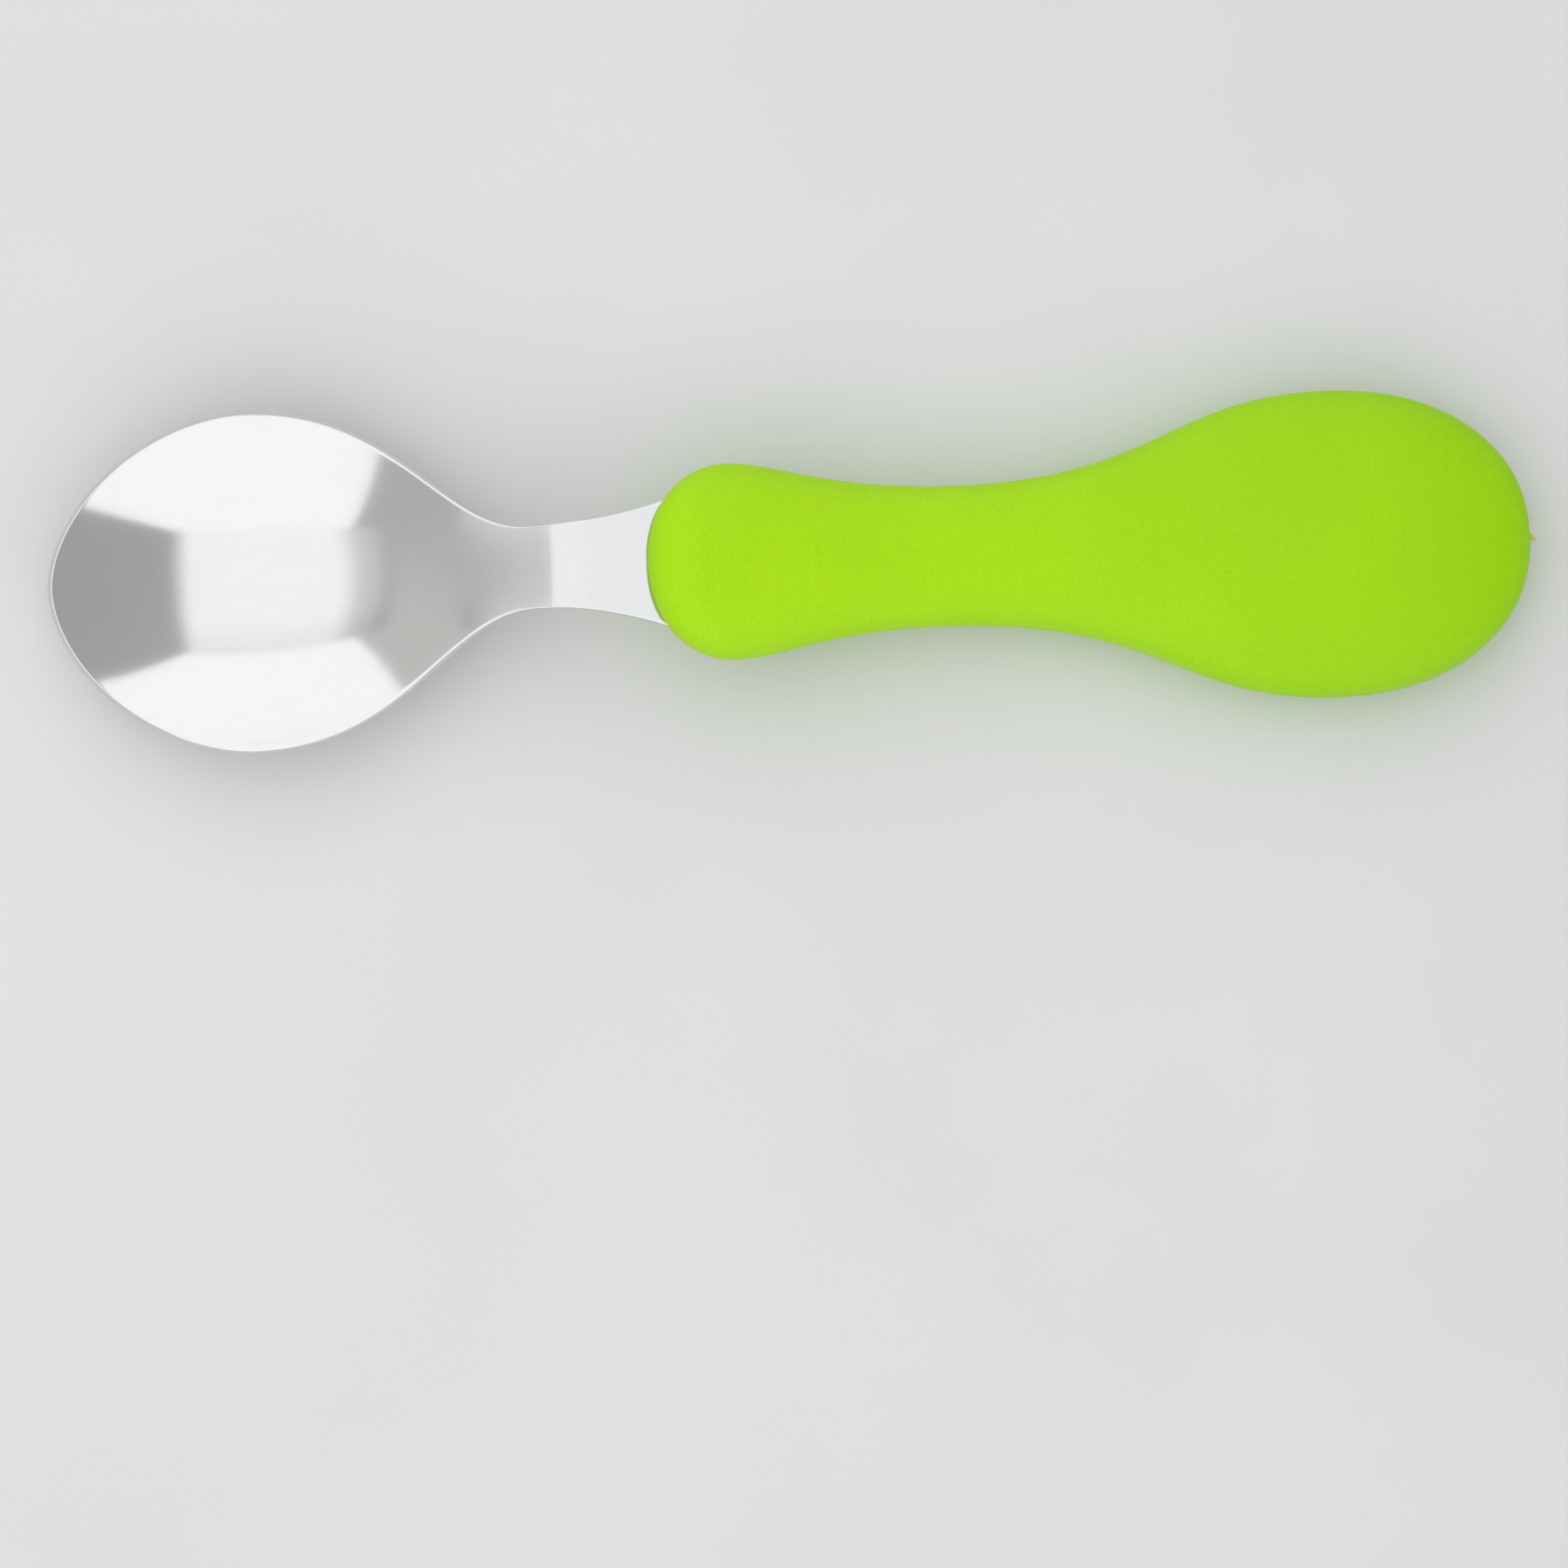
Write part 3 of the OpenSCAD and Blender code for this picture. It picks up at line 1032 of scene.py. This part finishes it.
@dataclass(frozen=True)
class SoftBox:
    """One lit panel of the tent, by its four corners in turn."""

    name: str
    corners: tuple[Place, Place, Place, Place]
    radiance: float
    fades: tuple[Fade, ...] = ()
    tint: Colour = (1.0, 1.0, 1.0)
    lights_matt: bool = True

    def hang(self) -> None:
        """Hangs the panel and lights it, with its soft sides.

        A panel that doesn't light matt surfaces shows in the steel alone.
        """
        deselect_all()
        bpy.ops.mesh.primitive_plane_add(size=1.0)
        panel = bpy.context.object
        panel.name = panel.data.name = self.name
        first, second, third, fourth = self.corners
        put_places(panel, np.array([first, second, fourth, third]))
        glow = bpy.data.materials.new(self.name)
        glow.use_nodes = True
        glow.node_tree.nodes.clear()
        sheet = NodeSheet(glow.node_tree)
        place = sheet.add("SeparateXYZ", {0: sheet.add("TexCoord", {}).outputs["Object"]}).outputs
        level = self.radiance
        for fade in self.fades:
            level = sheet.math("MULTIPLY", level, sheet.ramp(
                place[fade.axis], fade.full_at, fade.dim_at, 1.0, fade.dim_share))
        light = sheet.add("Emission", {"Color": (*self.tint, 1.0), "Strength": level})
        sheet.add("OutputMaterial", {"Surface": light.outputs[0]})
        panel.data.materials.append(glow)
        panel.visible_camera = False
        panel.visible_diffuse = self.lights_matt


@dataclass(frozen=True)
class TentWall:
    """One upright side of the tent: a wall that lights everything, over a foot that only the steel shows.

    Each of its three levels, from the table up, is a height and the places of its west and its east end.
    """

    name: str
    y: float
    levels: tuple[Place, Place, Place]
    radiance: float = 1.32

    def panels(self) -> tuple[SoftBox, SoftBox]:
        """Returns the panels of the wall and of its foot."""
        ground, split, top = self.levels
        return self.span("wall", split, top, True), self.span("foot", ground, split, False)

    def span(self, part: str, low: Place, high: Place, lights_matt: bool) -> SoftBox:
        """Spans a panel between two levels.

        Args:
            part: The panel's name within the wall.
            low: The lower level.
            high: The upper level.
            lights_matt: Whether the panel lights matt surfaces.

        Returns:
            The panel.
        """
        (low_z, low_west, low_east), (high_z, high_west, high_east) = low, high
        corners = ((low_west, self.y, low_z), (low_east, self.y, low_z),
                   (high_east, self.y, high_z), (high_west, self.y, high_z))
        return SoftBox(f"{self.name}_{part}", corners, self.radiance, lights_matt=lights_matt)


@dataclass
class Studio:
    """A light tent over a pale table, and the camera that looks down into it."""

    ceiling: SoftBox = SoftBox(
        "ceiling", ((-0.80, -0.28, 0.5), (0.20, -0.28, 0.5), (0.20, 0.49, 0.5), (-0.80, 0.49, 0.5)), 1.26,
        (Fade("X", -0.42, -0.57, 0.64), Fade("X", -0.57, -0.77, 0.72), Fade("X", 0.13, 0.20, 0.5),
         Fade("Y", 0.2, 0.49, 0.88)), tint=(0.985, 1.0, 1.012))
    walls: tuple[TentWall, ...] = (
        TentWall("south", -0.28, ((0.0, -0.24, 0.54), (0.14, -0.324, 0.445), (0.5, -0.54, 0.20))),
        TentWall("north", 0.49, ((0.0, -0.428, 0.455), (0.3, -0.538, 0.28), (0.5, -0.60, 0.18))),
    )
    horizon_light: float = 0.45
    south_west_light: float = 0.58
    north_west_light: float = 0.70
    east_light: float = 0.48
    horizon_rise: float = 0.35
    side_reach: float = 0.5
    room_tint: Colour = (1.0, 0.992, 0.968)
    table_size: float = 4.0
    table_drop: float = 0.00005
    camera_aim: Place = (-0.0016, -0.02097, 0.008)
    camera_reach: float = 0.442
    camera_tilt: float = 4.0
    camera_roll: float = -2.17
    view_width: float = 0.14696
    camera_clip: float = 0.01
    finish: Finish = field(default_factory=TableTop)

    def build(self) -> None:
        """Lays the table, lights the tent and sets the camera up."""
        deselect_all()
        bpy.ops.mesh.primitive_plane_add(size=self.table_size, location=(0.0, 0.0, -self.table_drop))
        table = bpy.context.object
        table.name = table.data.name = "table_top"
        table.data.materials.append(self.finish.material())
        self.ceiling.hang()
        for wall in self.walls:
            for panel in wall.panels():
                panel.hang()
        self.light_room()
        self.aim_camera()

    def light_room(self) -> None:
        """Gives the room outside the panels a grey light, pale at the horizon, dimmer south and east."""
        scene = bpy.context.scene
        scene.world = bpy.data.worlds.new("room")
        scene.world.use_nodes = True
        tree = scene.world.node_tree
        sheet = NodeSheet(tree)
        way = sheet.add("SeparateXYZ", {0: sheet.add("TexCoord", {}).outputs["Generated"]})
        west = sheet.ramp(way.outputs["Y"], -self.side_reach, self.side_reach,
                          self.south_west_light, self.north_west_light)
        side = sheet.ramp(way.outputs["X"], -1.0, 1.0, west, self.east_light)
        rise = sheet.ramp(way.outputs["Z"], 0.0, self.horizon_rise, self.horizon_light, 0.0)
        background = tree.nodes["Background"]
        background.inputs["Color"].default_value = (*self.room_tint, 1.0)
        tree.links.new(sheet.math("MAXIMUM", side, rise), background.inputs["Strength"])
        scene.view_settings.view_transform = "Standard"

    def aim_camera(self) -> None:
        """Points the camera down from a little south, rolled so that the spoon lies as photographed."""
        tilt, roll = math.radians(self.camera_tilt), math.radians(self.camera_roll)
        away = Vector((0.0, -math.sin(tilt), math.cos(tilt)))
        bpy.ops.object.camera_add(location=Vector(self.camera_aim) + self.camera_reach * away)
        camera = bpy.context.object
        camera.rotation_mode = "ZYX"
        camera.rotation_euler = (tilt, 0.0, roll)
        camera.data.lens = camera.data.sensor_width * self.camera_reach / self.view_width
        camera.data.clip_start = self.camera_clip
        bpy.context.scene.camera = camera


# Making the spoon

def report(piece: bpy.types.Object) -> None:
    """Logs a piece's name and how many triangles it has."""
    piece.data.calc_loop_triangles()
    LOG.info("%s: %d triangles", piece.name, len(piece.data.loop_triangles))


def main() -> None:
    """Builds and dresses the spoon's pieces in order, then the studio."""
    logging.basicConfig(level=logging.INFO, format="%(name)s: %(message)s")
    line = SpoonLine()
    blade, grip, core = Blade(line), Grip(line), Core()
    steel = blade.build()
    soft = grip.build(steel)
    blade.dress(steel)
    grip.dress(soft)
    for piece in (steel, soft, core.dress()):
        report(piece)
    Studio().build()


if __name__ == "__main__":
    main()
